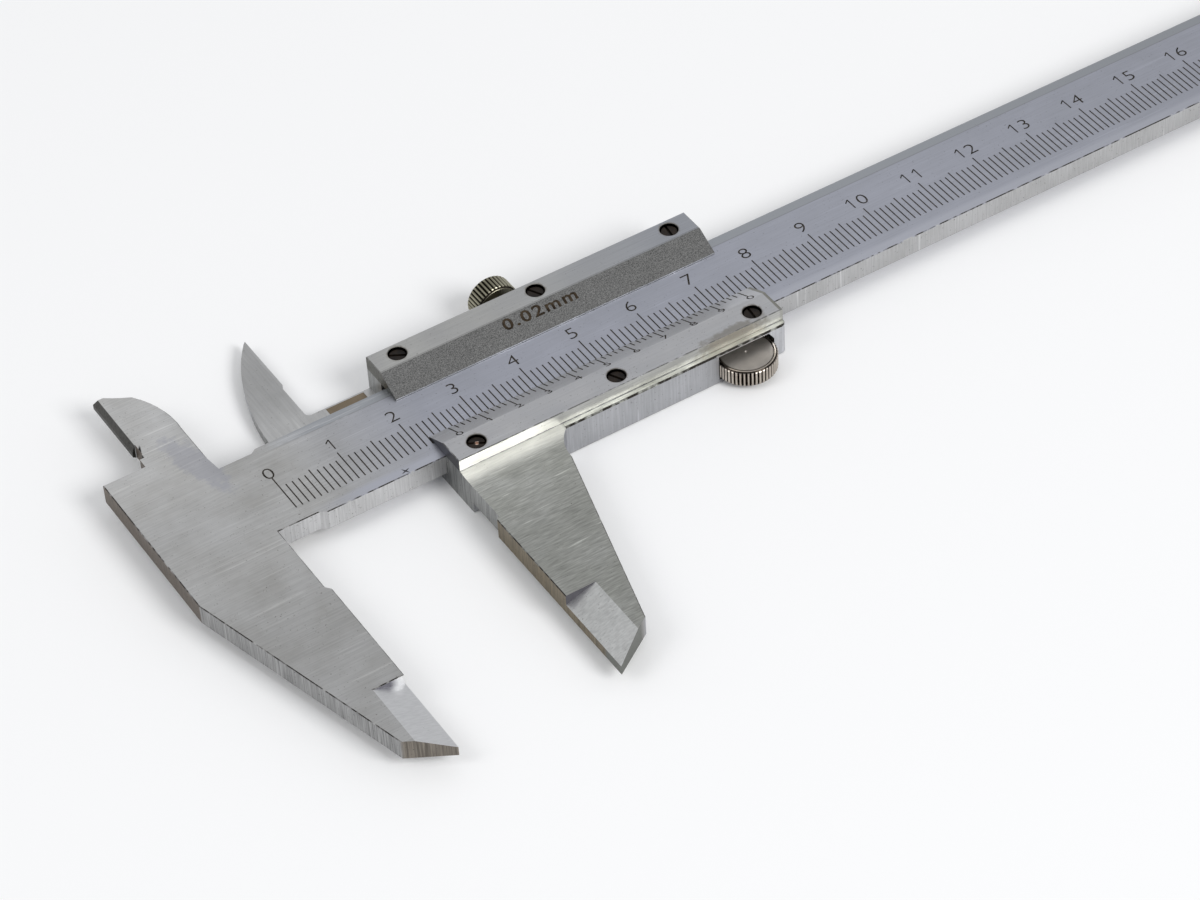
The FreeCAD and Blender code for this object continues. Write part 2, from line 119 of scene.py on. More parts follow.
# %% Floor and light
FLOOR_SIZE = 4.0                     # metres
FLOOR_WHITE = (0.93, 0.93, 0.93, 1.0)
SKY_COLOUR = (0.97, 0.98, 1.0, 1.0)
SKY_STRENGTH = 0.62
LAMPS = {                            # place and diameter in metres, power in watts
    "key": ((0.6, -1.45, 1.25), 0.9, 21.0),
    "fill": ((-1.6, 0.3, 1.6), 1.2, 8.0),
}


def pale_floor():
    bm = bmesh.new()
    bmesh.ops.create_grid(bm, x_segments=1, y_segments=1, size=FLOOR_SIZE / 2)
    bmesh.ops.translate(bm, verts=bm.verts, vec=(0.0, 0.0, cad_box[0].z))
    mesh = bpy.data.meshes.new("floor")
    bm.to_mesh(mesh)
    bm.free()
    floor = bpy.data.objects.new("floor", mesh)
    bpy.context.scene.collection.objects.link(floor)
    material = bpy.data.materials.new("pale_floor")
    material.use_nodes = True
    shader = material.node_tree.nodes["Principled BSDF"]
    shader.inputs["Base Color"].default_value = FLOOR_WHITE
    shader.inputs["Roughness"].default_value = 0.9
    shader.inputs["Specular IOR Level"].default_value = 0.1
    mesh.materials.append(material)


def soft_lamp(name, place, size, watts):
    lamp_data = bpy.data.lights.new(name, "AREA")
    lamp_data.shape = "DISK"
    lamp_data.size = size
    lamp_data.energy = watts
    lamp = bpy.data.objects.new(name, lamp_data)
    lamp.location = place
    lamp.rotation_euler = (-Vector(place)).to_track_quat("-Z", "Y").to_euler()
    bpy.context.scene.collection.objects.link(lamp)


def even_sky(strength):
    world = bpy.data.worlds.new("studio")
    world.use_nodes = True
    background = world.node_tree.nodes["Background"]
    background.inputs["Color"].default_value = SKY_COLOUR
    background.inputs["Strength"].default_value = strength
    bpy.context.scene.world = world


pale_floor()
even_sky(SKY_STRENGTH)
for lamp_name, (lamp_place, diameter, power) in LAMPS.items():
    soft_lamp(lamp_name, lamp_place, diameter, power)
bpy.context.scene.view_settings.view_transform = "Standard"
print("floor at z %.2f mm, lamps: %s" % (cad_box[0].z / MM, ", ".join(LAMPS)))

# %% [markdown]
# Ground steel carries fine parallel lines left by the wheel, and a soft unevenness where hands and
# oil have dulled it. Both are noise: the lines are noise squeezed hard in one direction, and the
# unevenness is slow noise. They go into two node groups, built once and used by every steel.

# %% Shared effects: grinding lines and dulling
NOISE_SPAN = (0.3, 0.7)              # noise seldom leaves these values
SCRATCH_SPAN = (0.68, 0.74)          # only the peaks of the coarse noise are scratches
SPECK_SPAN = (0.66, 0.78)


def new_group(name, inputs, outputs):
    group = bpy.data.node_groups.new(name, "ShaderNodeTree")
    for label, kind, value in inputs:
        socket = group.interface.new_socket(name=label, in_out="INPUT", socket_type=kind)
        socket.default_value = value
    for label in outputs:
        group.interface.new_socket(name=label, in_out="OUTPUT", socket_type="NodeSocketFloat")
    return group, group.nodes.new("NodeGroupInput"), group.nodes.new("NodeGroupOutput")


def add_noise(tree, vector, scale, detail, roughness=0.55):
    noise = tree.nodes.new("ShaderNodeTexNoise")
    noise.inputs["Scale"].default_value = scale
    noise.inputs["Detail"].default_value = detail
    noise.inputs["Roughness"].default_value = roughness
    tree.links.new(vector, noise.inputs["Vector"])
    return noise.outputs["Fac"]


def add_range(tree, value, low, high, to_low=0.0, to_high=1.0):
    ramp = tree.nodes.new("ShaderNodeMapRange")
    ramp.inputs["From Min"].default_value = low
    ramp.inputs["From Max"].default_value = high
    ramp.inputs["To Min"].default_value = to_low
    ramp.inputs["To Max"].default_value = to_high
    tree.links.new(value, ramp.inputs["Value"])
    return ramp.outputs["Result"]


def add_math(tree, operation, first, second):
    node = tree.nodes.new("ShaderNodeMath")
    node.operation = operation
    for socket, value in zip(node.inputs, (first, second)):
        if isinstance(value, (int, float)):
            socket.default_value = value
        else:
            tree.links.new(value, socket)
    return node.outputs["Value"]


def make_grinding_lines():
    """Streaks along one axis; Stretch holds how finely each axis is cut, in lines per metre."""
    group, start, end = new_group("grinding_lines", [
        ("Vector", "NodeSocketVector", (0.0, 0.0, 0.0)),
        ("Stretch", "NodeSocketVector", (100.0, 5000.0, 5000.0))], ["Lines", "Scratches"])
    scaled = group.nodes.new("ShaderNodeVectorMath")
    scaled.operation = "MULTIPLY"
    group.links.new(start.outputs["Vector"], scaled.inputs[0])
    group.links.new(start.outputs["Stretch"], scaled.inputs[1])
    fine = add_noise(group, scaled.outputs["Vector"], 1.0, 3.0)
    coarse = add_noise(group, scaled.outputs["Vector"], 0.35, 1.0)
    group.links.new(add_range(group, fine, *NOISE_SPAN), end.inputs["Lines"])
    group.links.new(add_range(group, coarse, *SCRATCH_SPAN), end.inputs["Scratches"])
    return group


def make_dulling():
    """Slow cloudy unevenness and small specks."""
    group, start, end = new_group("dulling", [
        ("Vector", "NodeSocketVector", (0.0, 0.0, 0.0)),
        ("Size", "NodeSocketFloat", 80.0)], ["Clouds", "Specks"])
    scaled = group.nodes.new("ShaderNodeVectorMath")
    scaled.operation = "SCALE"
    group.links.new(start.outputs["Vector"], scaled.inputs[0])
    group.links.new(start.outputs["Size"], scaled.inputs["Scale"])
    clouds = add_noise(group, scaled.outputs["Vector"], 1.0, 3.0)
    specks = add_noise(group, scaled.outputs["Vector"], 22.0, 2.0)
    group.links.new(add_range(group, clouds, *NOISE_SPAN), end.inputs["Clouds"])
    group.links.new(add_range(group, specks, *SPECK_SPAN), end.inputs["Specks"])
    return group


GRINDING = make_grinding_lines()
DULLING = make_dulling()
print("shared groups:", GRINDING.name, DULLING.name)

# %% [markdown]
# A small toolkit keeps the materials short: place a group, mix two colours by a mask, tell which way
# a face looks, turn lines into a slight bump, mark a ragged stain, and join masks.

# %% Material helpers
def new_finish(name, roughness, metallic=1.0):
    material = bpy.data.materials.new(name)
    material.use_nodes = True
    tree = material.node_tree
    shader = tree.nodes["Principled BSDF"]
    shader.inputs["Metallic"].default_value = metallic
    shader.inputs["Roughness"].default_value = roughness
    place = tree.nodes.new("ShaderNodeTexCoord").outputs["Object"]
    return material, tree, shader, place


def use_group(tree, group, place, **values):
    node = tree.nodes.new("ShaderNodeGroup")
    node.node_tree = group
    tree.links.new(place, node.inputs["Vector"])
    for label, value in values.items():
        node.inputs[label].default_value = value
    return node


def mix_colour(tree, mask, first, second, blend="MIX"):
    node = tree.nodes.new("ShaderNodeMix")
    node.data_type = "RGBA"
    node.blend_type = blend
    sockets = {"mask": node.inputs[0], "a": node.inputs[6], "b": node.inputs[7]}
    for key, value in (("mask", mask), ("a", first), ("b", second)):
        if isinstance(value, (int, float)):
            sockets[key].default_value = value
        elif isinstance(value, tuple):
            sockets[key].default_value = (*value, 1.0)
        else:
            tree.links.new(value, sockets[key])
    return node.outputs[2]


def scale_colour(tree, colour, factor):
    """Colour times a varying factor."""
    node = tree.nodes.new("ShaderNodeVectorMath")
    node.operation = "SCALE"
    if isinstance(colour, tuple):
        node.inputs[0].default_value = colour
    else:
        tree.links.new(colour, node.inputs[0])
    tree.links.new(factor, node.inputs["Scale"])
    return node.outputs["Vector"]


def facing(tree, axis, sign, low=0.5, high=0.8):
    """Mask of the faces that look along an axis; sign 0 takes both ways."""
    normal = tree.nodes.new("ShaderNodeNewGeometry").outputs["True Normal"]
    parts = tree.nodes.new("ShaderNodeSeparateXYZ")
    tree.links.new(normal, parts.inputs["Vector"])
    along = parts.outputs["XYZ".index(axis)]
    along = add_math(tree, "ABSOLUTE", along, 0.0) if sign == 0 else add_math(tree, "MULTIPLY", along, sign)
    return add_range(tree, along, low, high)


def add_bump(tree, shader, height, depth):
    bump = tree.nodes.new("ShaderNodeBump")
    bump.inputs["Strength"].default_value = 1.0
    bump.inputs["Distance"].default_value = depth
    tree.links.new(height, bump.inputs["Height"])
    tree.links.new(bump.outputs["Normal"], shader.inputs["Normal"])


def paint(node_name, material):
    """Gives a CAD node its material."""
    slots = frame["nodes"][node_name].data.materials
    slots.clear()
    slots.append(material)


def off_axis(tree, place, axis, centre):
    """Distance from a line that runs along one axis through a point."""
    moved = tree.nodes.new("ShaderNodeVectorMath")
    moved.operation = "SUBTRACT"
    moved.inputs[1].default_value = centre
    tree.links.new(place, moved.inputs[0])
    flat = tree.nodes.new("ShaderNodeVectorMath")
    flat.operation = "MULTIPLY"
    flat.inputs[1].default_value = [0.0 if name == axis else 1.0 for name in "XYZ"]
    tree.links.new(moved.outputs["Vector"], flat.inputs[0])
    length = tree.nodes.new("ShaderNodeVectorMath")
    length.operation = "LENGTH"
    tree.links.new(flat.outputs["Vector"], length.inputs[0])
    return length.outputs["Value"]


def uneven(tree, place, value, scale, detail, amount):
    """A measure made uneven by noise, for ragged outlines."""
    return add_math(tree, "ADD", value, weaken(tree, add_noise(tree, place, scale, detail), amount))


def stain(tree, place, x, y, length, width, turn, ragged):
    """Mask of a ragged oval mark in the plane of the scale, turned by some degrees."""
    mapping = tree.nodes.new("ShaderNodeMapping")
    mapping.vector_type = "TEXTURE"
    mapping.inputs["Location"].default_value = (x, y, 0.0)
    mapping.inputs["Rotation"].default_value = (0.0, 0.0, math.radians(turn))
    mapping.inputs["Scale"].default_value = (length / 2, width / 2, 1.0)
    tree.links.new(place, mapping.inputs["Vector"])
    reach = tree.nodes.new("ShaderNodeVectorMath")
    reach.operation = "LENGTH"
    tree.links.new(mapping.outputs["Vector"], reach.inputs[0])
    edge = uneven(tree, place, reach.outputs["Value"], 900.0, 3.0, ragged * 2)
    return add_range(tree, edge, 1.1 + ragged, 0.7 + ragged)


def coordinate(tree, place, axis):
    parts = tree.nodes.new("ShaderNodeSeparateXYZ")
    tree.links.new(place, parts.inputs["Vector"])
    return parts.outputs["XYZ".index(axis)]


def both(tree, *masks):
    """Where all of several masks hold."""
    joined = masks[0]
    for mask in masks[1:]:
        joined = add_math(tree, "MULTIPLY", joined, mask)
    return joined


def either(tree, *masks):
    """Where any of several masks holds."""
    joined = masks[0]
    for mask in masks[1:]:
        joined = add_math(tree, "MAXIMUM", joined, mask)
    return joined


def weaken(tree, mask, share):
    """A mask at part of its strength."""
    return add_math(tree, "MULTIPLY", mask, share)


def ruled(tree, colour, cut_side, low, high):
    """A colour made darker and lighter by the lines of a surface."""
    return scale_colour(tree, colour, add_range(tree, cut_side["Height"], 0.0, 1.0, low, high))


print("material helpers ready")

# %% [markdown]
# The ground steels share one recipe. Its colour drifts slowly between two greys, the grinding lines
# cut it a little lighter and darker, specks of old dirt sit on top, and roughness and height follow
# the same lines, so colour and gloss agree.

# %% Shared effect: ground steel
DIRT_COLOUR = (0.10, 0.085, 0.065)


def make_ground_steel():
    group, start, end = new_group("ground_steel", [
        ("Vector", "NodeSocketVector", (0.0, 0.0, 0.0)),
        ("Stretch", "NodeSocketVector", (100.0, 5000.0, 5000.0)),
        ("Colour", "NodeSocketColor", (0.6, 0.6, 0.6, 1.0)),
        ("Tint", "NodeSocketColor", (0.5, 0.5, 0.5, 1.0)),
        ("Line Depth", "NodeSocketFloat", 0.15),
        ("Dirt", "NodeSocketFloat", 0.3),
        ("Mottle", "NodeSocketFloat", 150.0)], [])
    group.interface.new_socket(name="Colour", in_out="OUTPUT", socket_type="NodeSocketColor")
    group.interface.new_socket(name="Roughness", in_out="OUTPUT", socket_type="NodeSocketFloat")
    group.interface.new_socket(name="Height", in_out="OUTPUT", socket_type="NodeSocketFloat")
    lines = group.nodes.new("ShaderNodeGroup")
    lines.node_tree = GRINDING
    dull = group.nodes.new("ShaderNodeGroup")
    dull.node_tree = DULLING
    for node in (lines, dull):
        group.links.new(start.outputs["Vector"], node.inputs["Vector"])
    group.links.new(start.outputs["Stretch"], lines.inputs["Stretch"])
    group.links.new(start.outputs["Mottle"], dull.inputs["Size"])
    drift = mix_colour(group, dull.outputs["Clouds"], start.outputs["Colour"], start.outputs["Tint"])
    depth = start.outputs["Line Depth"]
    lift = add_math(group, "MULTIPLY", add_math(group, "SUBTRACT", lines.outputs["Lines"], 0.5), depth)
    scratch = add_math(group, "MULTIPLY", lines.outputs["Scratches"], depth)
    shade = add_math(group, "ADD", add_math(group, "ADD", lift, 1.0), scratch)
    lined = scale_colour(group, drift, shade)
    dirt = add_math(group, "MULTIPLY", dull.outputs["Specks"], start.outputs["Dirt"])
    soiled = mix_colour(group, dirt, lined, DIRT_COLOUR)
    group.links.new(soiled, end.inputs["Colour"])
    rough = add_range(group, dull.outputs["Clouds"], 0.0, 1.0, 0.34, 0.44)
    group.links.new(add_math(group, "ADD", rough, dirt), end.inputs["Roughness"])
    group.links.new(add_math(group, "SUBTRACT", lines.outputs["Lines"], dirt), end.inputs["Height"])
    return group


def steel_in(tree, place, stretch, tones, line_depth, dirt):
    """Ground steel that drifts between two tones."""
    node = use_group(tree, GROUND_STEEL, place)
    node.inputs["Stretch"].default_value = stretch
    node.inputs["Colour"].default_value = (*tones[0], 1.0)
    node.inputs["Tint"].default_value = (*tones[1], 1.0)
    node.inputs["Line Depth"].default_value = line_depth
    node.inputs["Dirt"].default_value = dirt
    return node.outputs


GROUND_STEEL = make_ground_steel()
print("ground steel ready")

# %% [markdown]
# Which way a face looks decides how it was cut: the scale side is ground, the walls are milled and
# the ends are sawn. The broken edges between them get painted shade in some places and painted
# glints in others. A second group tells these faces apart by their normal, and a third breaks the
# edge up with noise.

# %% Shared effects: face masks and broken edges
def make_face_masks():
    """A slope leans 14 to 36 degrees off flat, a broken edge 38 to 65, and a wall stands upright."""
    labels = ["Slope", "Broken Edge", "Cut End", "Wall"]
    group, start, end = new_group("face_masks", [], labels)
    upright = facing(group, "Z", 1, 0.0, 1.0)
    leaning = facing(group, "Z", 0, 0.0, 1.0)
    sloping = both(group, add_range(group, upright, 0.80, 0.82), add_range(group, upright, 0.98, 0.96))
    broken = both(group, add_range(group, leaning, 0.40, 0.45), add_range(group, leaning, 0.80, 0.78))
    group.links.new(sloping, end.inputs["Slope"])
    group.links.new(broken, end.inputs["Broken Edge"])
    group.links.new(facing(group, "X", -1, 0.97, 0.985), end.inputs["Cut End"])
    group.links.new(add_range(group, leaning, 0.3, 0.2), end.inputs["Wall"])
    return group


def make_ragged_edge():
    """Stretches of painted shade and of painted glints along a broken edge."""
    group, start, end = new_group("ragged_edge", [("Vector", "NodeSocketVector", (0.0, 0.0, 0.0))],
                                  ["Dirty", "Edge Glint"])
    patches = add_noise(group, start.outputs["Vector"], 700.0, 4.0)
    group.links.new(add_range(group, patches, 0.38, 0.52, 0.25, 1.0), end.inputs["Dirty"])
    group.links.new(add_range(group, patches, 0.36, 0.33), end.inputs["Edge Glint"])
    return group


def masks_in(tree):
    node = tree.nodes.new("ShaderNodeGroup")
    node.node_tree = FACE_MASKS
    return node.outputs


def worn_edges(tree, place, masks, colour, dark, bright):
    """The colour under it, with painted shade and painted glints along the broken edges."""
    ragged = use_group(tree, RAGGED_EDGE, place).outputs
    shaded_edge = mix_colour(tree, both(tree, masks["Broken Edge"], ragged["Dirty"]), colour, dark)
    return mix_colour(tree, both(tree, masks["Broken Edge"], ragged["Edge Glint"]), shaded_edge, bright)


def dull_edges(tree, masks, roughness):
    """Roughness of the faces, raised along the broken edges so that they don't mirror the lamp."""
    return add_math(tree, "MAXIMUM", roughness, weaken(tree, masks["Broken Edge"], 0.8))


def finish_steel(tree, shader, masks, colour, side, depth):
    """Links a steel's colour, and the roughness and height of its lines."""
    tree.links.new(colour, shader.inputs["Base Color"])
    tree.links.new(dull_edges(tree, masks, side["Roughness"]), shader.inputs["Roughness"])
    add_bump(tree, shader, side["Height"], depth)


FACE_MASKS = make_face_masks()
RAGGED_EDGE = make_ragged_edge()
print("face masks and ragged edges ready")

# %% [markdown]
# The beam with its fixed jaws is the cleanest surface: satin, faintly blue along the scale and warmer
# on the head, with a narrow margin above the figures. The ends that a saw and a coarse wheel
# left, at the back of the head and on the jaw's tip, are tan with lines across the thickness. The
# inner jaw's edge was ground thin and gets near black painted shade, and a bluish smear runs down
# from its root. Its tones and the places where they change come first, so that the material reads as a
# recipe.

# %% Tones and places on the beam
ALONG_X = (150.0, 4200.0, 2500.0)    # ground along the beam
ACROSS = (4200.0, 4200.0, 150.0)     # cut across the thickness
HEAD_TONES = [(0.64, 0.64, 0.635), (0.515, 0.51, 0.495)]
SCALE_TONES = [(0.515, 0.53, 0.60), (0.48, 0.495, 0.555)]
MILLED_TONES = [(0.60, 0.60, 0.605), (0.52, 0.52, 0.52)]
MARGIN_GREY = (0.445, 0.465, 0.495)
LOW_EDGE = (0.58, 0.595, 0.66)
# BLADE_LIGHT is lighter than the face around it: a painted reflection on the knife part's slope
BLADE_LIGHT = (0.75, 0.755, 0.765)   # the ground slope of the jaw's knife part
SHOULDER_SHADE = (0.20, 0.195, 0.22)
SHOULDER_LIGHT = (0.85, 0.85, 0.85)
HEAD_TAN = (0.13, 0.103, 0.08)
TIP_TAN = (0.20, 0.18, 0.155)
SLANT_GREY = (0.31, 0.31, 0.31)      # the slanted back of the outer jaw
# Painted shade for the inner jaw's thinned edge
KNIFE_BLACK = (0.045, 0.043, 0.038)
# Painted shade and painted glints for the broken edges of the beam and the slider
EDGE_DARK = (0.06, 0.055, 0.05)
EDGE_BRIGHT = (0.50, 0.50, 0.49)
JAW_TIP_Y = -16.2 * MM               # the outer jaws' tips, slanted ends included, lie beyond this
SHOULDER_Y = -7.3 * MM               # where the knife part of both outer jaws starts
HEAD_HEEL_Y = 19.3 * MM              # where the back of the head turns into the jaw's slanted back
MARGIN_Y = 40.2 * MM                 # foot of the margin above the figures
INNER_FOOT_Y = 49.2 * MM             # where the inner jaw's thin edge starts
INNER_EDGE_X = -9.0 * MM
SMEAR = (-3.6 * MM, 44.0 * MM, 15.5 * MM, 4.6 * MM, 103.0, 0.7)    # x, y, length, width, turn, raggedness
NICKS = [(-9.0 * MM, 50.6 * MM, 2.6 * MM, 0.45 * MM, 66.0, 0.25),
         (19.7 * MM, 25.7 * MM, 1.5 * MM, 0.22 * MM, 20.0, 0.15),
         (19.7 * MM, 25.7 * MM, 1.5 * MM, 0.22 * MM, -60.0, 0.15)]
SCUFF = (15.0 * MM, 41.0 * MM, 22.0 * MM, 1.7 * MM, 0.0, 0.8)
SMEAR_BLUE = (0.42, 0.43, 0.51)
NICK_BLACK = (0.03, 0.03, 0.03)
SCUFF_LIGHT = (0.69, 0.70, 0.72)
print("beam: %d nicks, margin from y %.1f mm" % (len(NICKS), MARGIN_Y / MM))

# %% [markdown]
# A finish on a long piece changes slowly from place to place, and so does the reflection that is
# painted into the beam's colour here. Plain coordinates do both: a mask rises between two places
# along the beam or across it, and mixes or scales the colour. Marks that belong to one spot are
# ragged ovals laid over the result.

# %% Scale side of the beam
def beam_front(tree, along, across, head_side, scale_side):
    """Head and scale, the rubbed lower edge and the margin above the figures."""
    to_scale = add_range(tree, along, 7 * MM, 28 * MM)
    front = mix_colour(tree, to_scale, head_side["Colour"], scale_side["Colour"])
    on_beam = add_range(tree, along, 5 * MM, 14 * MM)
    low_edge = both(tree, on_beam, add_range(tree, across, BEAM_EDGE + 1.9 * MM, BEAM_EDGE + 1.1 * MM))
    front = mix_colour(tree, low_edge, front, LOW_EDGE)
    margin = both(tree, on_beam, add_range(tree, across, MARGIN_Y - 0.03 * MM, MARGIN_Y + 0.03 * MM))
    front = mix_colour(tree, margin, front, MARGIN_GREY)
    line = both(tree, on_beam, add_range(tree, across, MARGIN_Y - 0.16 * MM, MARGIN_Y - 0.08 * MM),
                add_range(tree, across, MARGIN_Y + 0.06 * MM, MARGIN_Y - 0.02 * MM))
    return mix_colour(tree, weaken(tree, line, 0.35), front, DIRT_COLOUR)


def beam_shading(tree, along, across, front):
    """Painted reflection: a little darker to the far end and down the outer jaw, lighter up the inner jaw."""
    front = scale_colour(tree, front, add_range(tree, along, 110 * MM, 160 * MM, 1.0, 0.92))
    front = scale_colour(tree, front, add_range(tree, across, 22 * MM, 8 * MM, 1.0, 0.87))
    up_the_blade = both(tree, add_range(tree, across, 34 * MM, 44 * MM), add_range(tree, along, 0.0, -4 * MM))
    return scale_colour(tree, front, add_range(tree, up_the_blade, 0.0, 1.0, 1.0, 1.2))


def beam_marks(tree, place, scale_side, front):
    """The smear under the inner jaw, the nicks, and the scuffs along the margin."""
    smear = stain(tree, place, *SMEAR)
    front = mix_colour(tree, weaken(tree, smear, 0.42), front, SMEAR_BLUE)
    nicks = either(tree, *[stain(tree, place, *nick) for nick in NICKS])
    front = mix_colour(tree, nicks, front, NICK_BLACK)
    scuffed = both(tree, stain(tree, place, *SCUFF), scale_side["Height"], scale_side["Height"])
    return mix_colour(tree, scuffed, front, SCUFF_LIGHT)


print("scale side ready")

# %% [markdown]
# Both outer jaws end in a knife part: a slope, a shoulder above it and a slanted tip. Each could
# have a material of its own, but a piece keeps one material more easily, so masks find the faces by
# their direction and their place. Fixed and moving jaw share these masks.

# %% Steel of the beam
def jaw_knife(tree, masks, across):
    return both(tree, masks["Slope"], add_range(tree, across, SHOULDER_Y + 0.3 * MM, SHOULDER_Y))


def jaw_shoulder(tree, across):
    return both(tree, facing(tree, "Y", -1, 0.9, 0.95), add_range(tree, across, 5 * MM, 4 * MM))


def jaw_tip(tree, masks, across):
    return both(tree, masks["Wall"], add_range(tree, across, JAW_TIP_Y - 0.5 * MM, JAW_TIP_Y - 1.3 * MM))


def cut_lines(tree, cut_side, colour):
    """A sawn or coarsely ground end, with its lines."""
    return ruled(tree, colour, cut_side, 0.55, 1.45)


def beam_walls(tree, masks, along, across, milled, front):
    """The front's tone, and on the walls the milled, sawn and thinned faces."""
    low_wall = scale_colour(tree, milled["Colour"], add_range(tree, along, 20 * MM, 80 * MM, 1.0, 0.86))
    side = mix_colour(tree, masks["Wall"], front, low_wall)
    into_light = add_range(tree, along, -2.1 * MM, -0.9 * MM)
    shoulder_tone = mix_colour(tree, into_light, SHOULDER_SHADE, SHOULDER_LIGHT)
    side = mix_colour(tree, jaw_shoulder(tree, across), side, shoulder_tone)
    side = mix_colour(tree, masks["Cut End"], side, cut_lines(tree, milled, HEAD_TAN))
    side = mix_colour(tree, jaw_tip(tree, masks, across), side, cut_lines(tree, milled, TIP_TAN))
    slanted = both(tree, masks["Wall"], add_range(tree, along, -6.3 * MM, -6.5 * MM),
                   add_range(tree, across, HEAD_HEEL_Y + 0.1 * MM, HEAD_HEEL_Y - 0.1 * MM),
                   facing(tree, "X", -1, 0.9, 0.93))
    side = mix_colour(tree, slanted, side, cut_lines(tree, milled, SLANT_GREY))
    # Painted shade: the inner jaw's thinned edge near black
    knife_edge = both(tree, add_range(tree, across, INNER_FOOT_Y, INNER_FOOT_Y + 0.1 * MM),
                      add_range(tree, along, INNER_EDGE_X + 0.02 * MM, INNER_EDGE_X - 0.02 * MM))
    return mix_colour(tree, knife_edge, side, cut_lines(tree, milled, KNIFE_BLACK))


def beam_steel():
    material, tree, shader, place = new_finish("beam_steel", roughness=0.38)
    masks = masks_in(tree)
    along = coordinate(tree, place, "X")
    across = coordinate(tree, place, "Y")
    scale_side = steel_in(tree, place, ALONG_X, SCALE_TONES, line_depth=0.10, dirt=0.35)
    head_side = steel_in(tree, place, ALONG_X, HEAD_TONES, line_depth=0.17, dirt=0.5)
    milled = steel_in(tree, place, ACROSS, MILLED_TONES, line_depth=0.28, dirt=0.8)
    front = beam_front(tree, along, across, head_side, scale_side)
    front = beam_shading(tree, along, across, front)
    front = beam_marks(tree, place, scale_side, front)
    # Painted reflection: the knife part's slope gets a lighter colour
    blade = ruled(tree, BLADE_LIGHT, head_side, 0.93, 1.06)
    front = mix_colour(tree, jaw_knife(tree, masks, across), front, blade)
    side = beam_walls(tree, masks, along, across, milled, front)
    edged = worn_edges(tree, place, masks, side, EDGE_DARK, EDGE_BRIGHT)
    finish_steel(tree, shader, masks, edged, head_side, 0.0025 * MM)
    return material


paint("beam", beam_steel())
print("beam painted")

# %% [markdown]
# The slider's jaw was ground more coarsely than the beam, in shorter and deeper lines, and hands
# have left it slightly green; a painted reflection makes it lighter towards the top. Under the
# vernier plate a cove catches the lamp, and its lighter cream colour is a painted highlight as
# well. The knife part at the tip is lighter, and its shoulder lies in painted shade.

# %% Tones and places on the slider
JAW_LINES = (420.0, 4000.0, 4000.0)  # coarser and shorter lines than on the beam
BLADE_LINES = (2400.0, 120.0, 2400.0)
KNIFE_LINES = (260.0, 3400.0, 3400.0)
JAW_TONES = [(0.44, 0.445, 0.42), (0.36, 0.365, 0.335)]
INNER_TONES = [(0.66, 0.66, 0.655), (0.57, 0.57, 0.565)]
WALL_TONES = [(0.45, 0.455, 0.475), (0.40, 0.405, 0.42)]
KNIFE_TONES = [(0.66, 0.665, 0.655), (0.57, 0.575, 0.565)]
# Painted highlight of the cove
COVE_PAINTED_HIGHLIGHT = (0.73, 0.73, 0.685)
SHOULDER_DARK = (0.16, 0.155, 0.175)
JAW_TAN = (0.18, 0.148, 0.098)
JAW_TIP_DARK = (0.15, 0.155, 0.14)
LEFT_WALL_GREY = (0.31, 0.315, 0.31)
ROOT_X = READING + 17.4 * MM         # right side of the moving jaw's root
SLIDER_X0 = READING + 0.6 * MM       # left end of the slider's body and plates
COVE_Y = (17.6 * MM, 19.4 * MM)      # the cove comes in between these, going up
COVE_TOP_Y = (36 * MM, 35 * MM)
INNER_JAW_Y = (36 * MM, 37 * MM)     # above this lies the moving inner jaw
FACE_TOP_Y = 10.9 * MM               # top of the measuring face's tan part
print("slider: root of the jaw at x %.1f mm, left end at x %.1f mm" % (ROOT_X / MM, SLIDER_X0 / MM))

# %% [markdown]
# Its material follows the beam's: a tone for the top faces, then the walls and ends over it, then
# the broken edges.

# %% Steel of the slider
def slider_top(tree, place, masks, along, across, jaw_side):
    """The jaw's green grey with a painted reflection, the inner jaw, the cove with its painted highlight and
    the knife part.
    """
    # Painted reflection: the jaw lighter towards the top
    upper = add_range(tree, across, 6 * MM, 15 * MM)
    jaw = scale_colour(tree, jaw_side["Colour"], add_range(tree, upper, 0.0, 1.0, 1.0, 1.24))
    inner_side = steel_in(tree, place, BLADE_LINES, INNER_TONES, line_depth=0.16, dirt=0.4)
    top = mix_colour(tree, add_range(tree, across, *INNER_JAW_Y), jaw, inner_side["Colour"])
    top = scale_colour(tree, top, add_range(tree, across, 47 * MM, 53 * MM, 1.0, 0.82))
    # Painted highlight along the cove
    cove = both(tree, add_range(tree, across, *COVE_Y), add_range(tree, across, *COVE_TOP_Y),
                add_range(tree, along, ROOT_X + 0.2 * MM, ROOT_X - 0.4 * MM))
    top = mix_colour(tree, cove, top, ruled(tree, COVE_PAINTED_HIGHLIGHT, jaw_side, 0.9, 1.08))
    knife_side = steel_in(tree, place, KNIFE_LINES, KNIFE_TONES, line_depth=0.26, dirt=0.6)
    return mix_colour(tree, jaw_knife(tree, masks, across), top, knife_side["Colour"])


def slider_walls(tree, masks, along, across, milled, top):
    """The milled walls, the measuring face, the tip and the left end."""
    low_wall = scale_colour(tree, milled["Colour"], add_range(tree, along, 70 * MM, 78 * MM, 1.0, 1.25))
    side = mix_colour(tree, masks["Wall"], top, low_wall)
    side = mix_colour(tree, jaw_shoulder(tree, across), side, SHOULDER_DARK)
    tip = jaw_tip(tree, masks, across)
    measuring = both(tree, masks["Cut End"], add_range(tree, across, FACE_TOP_Y, FACE_TOP_Y - 0.3 * MM))
    ends = mix_colour(tree, tip, cut_lines(tree, milled, JAW_TAN), JAW_TIP_DARK)
    side = mix_colour(tree, either(tree, measuring, tip), side, ends)
    left_wall = both(tree, masks["Cut End"], add_range(tree, across, FACE_TOP_Y - 0.3 * MM, FACE_TOP_Y))
    return mix_colour(tree, left_wall, side, cut_lines(tree, milled, LEFT_WALL_GREY))


